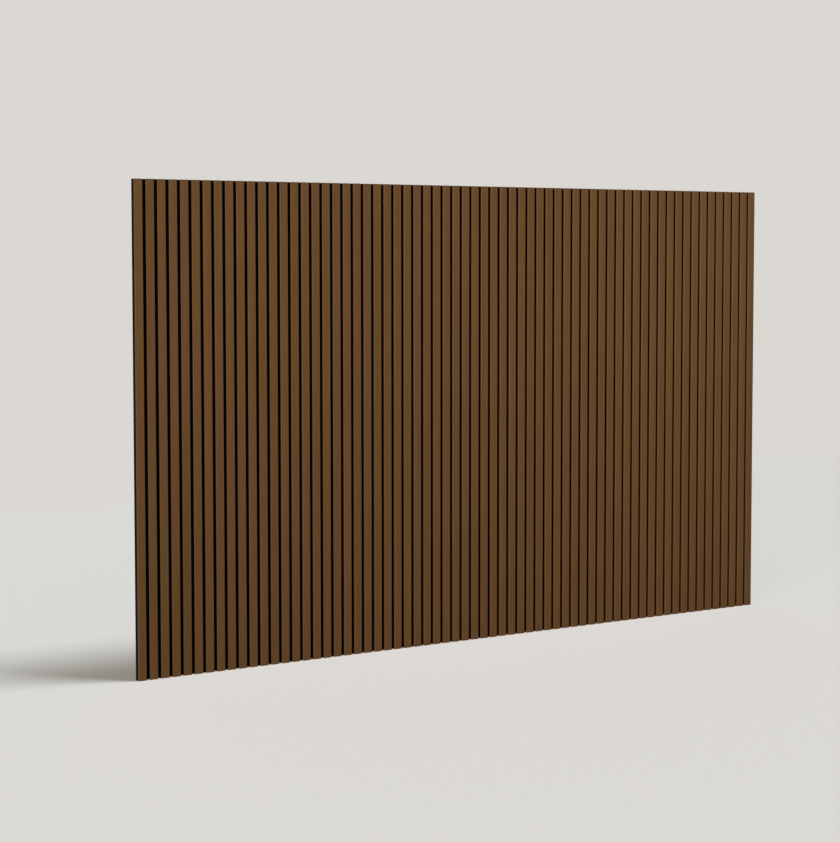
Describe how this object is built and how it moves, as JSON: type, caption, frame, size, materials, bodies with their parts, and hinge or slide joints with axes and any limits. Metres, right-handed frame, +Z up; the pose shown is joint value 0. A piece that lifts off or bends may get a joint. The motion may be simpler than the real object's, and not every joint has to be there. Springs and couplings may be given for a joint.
{
  "type": "slatted acoustic wall panel",
  "caption": "Wide upright wall panel of narrow wooden slats on a black felt sheet, which soaks up sound through the gaps.",
  "frame": {"origin": "middle of the felt's back face, the face that goes against the wall", "axes": "+X along the panel, to the right as seen from the front; +Y back into the wall; +Z up along the slats"},
  "size_m": [2.6, 0.022, 1.75],
  "materials": {
    "veneer": "matt lacquered wood veneer on a fibreboard core",
    "felt": "needled polyester felt, dyed black",
    "staple_wire": "galvanised steel wire, on the staples at the back"
  },
  "bodies": {
    "root": {"felt_backing": "felt", "slat_01": "veneer", "slat_02": "veneer", "slat_03": "veneer", "slat_04": "veneer", "slat_05": "veneer", "slat_06": "veneer", "slat_07": "veneer", "slat_08": "veneer", "slat_09": "veneer", "slat_10": "veneer", "slat_11": "veneer", "slat_12": "veneer", "slat_13": "veneer", "slat_14": "veneer", "slat_15": "veneer", "slat_16": "veneer", "slat_17": "veneer", "slat_18": "veneer", "slat_19": "veneer", "slat_20": "veneer", "slat_21": "veneer", "slat_22": "veneer", "slat_23": "veneer", "slat_24": "veneer", "slat_25": "veneer", "slat_26": "veneer", "slat_27": "veneer", "slat_28": "veneer", "slat_29": "veneer", "slat_30": "veneer", "slat_31": "veneer", "slat_32": "veneer", "slat_33": "veneer", "slat_34": "veneer", "slat_35": "veneer", "slat_36": "veneer", "slat_37": "veneer", "slat_38": "veneer", "slat_39": "veneer", "slat_40": "veneer", "slat_41": "veneer", "slat_42": "veneer", "slat_43": "veneer", "slat_44": "veneer", "slat_45": "veneer", "slat_46": "veneer", "slat_47": "veneer", "slat_48": "veneer", "slat_49": "veneer", "slat_50": "veneer", "slat_51": "veneer", "slat_52": "veneer", "slat_53": "veneer", "slat_54": "veneer", "slat_55": "veneer", "slat_56": "veneer", "slat_57": "veneer", "slat_58": "veneer", "slats_59_to_65": "veneer"}
  },
  "joints": []
}
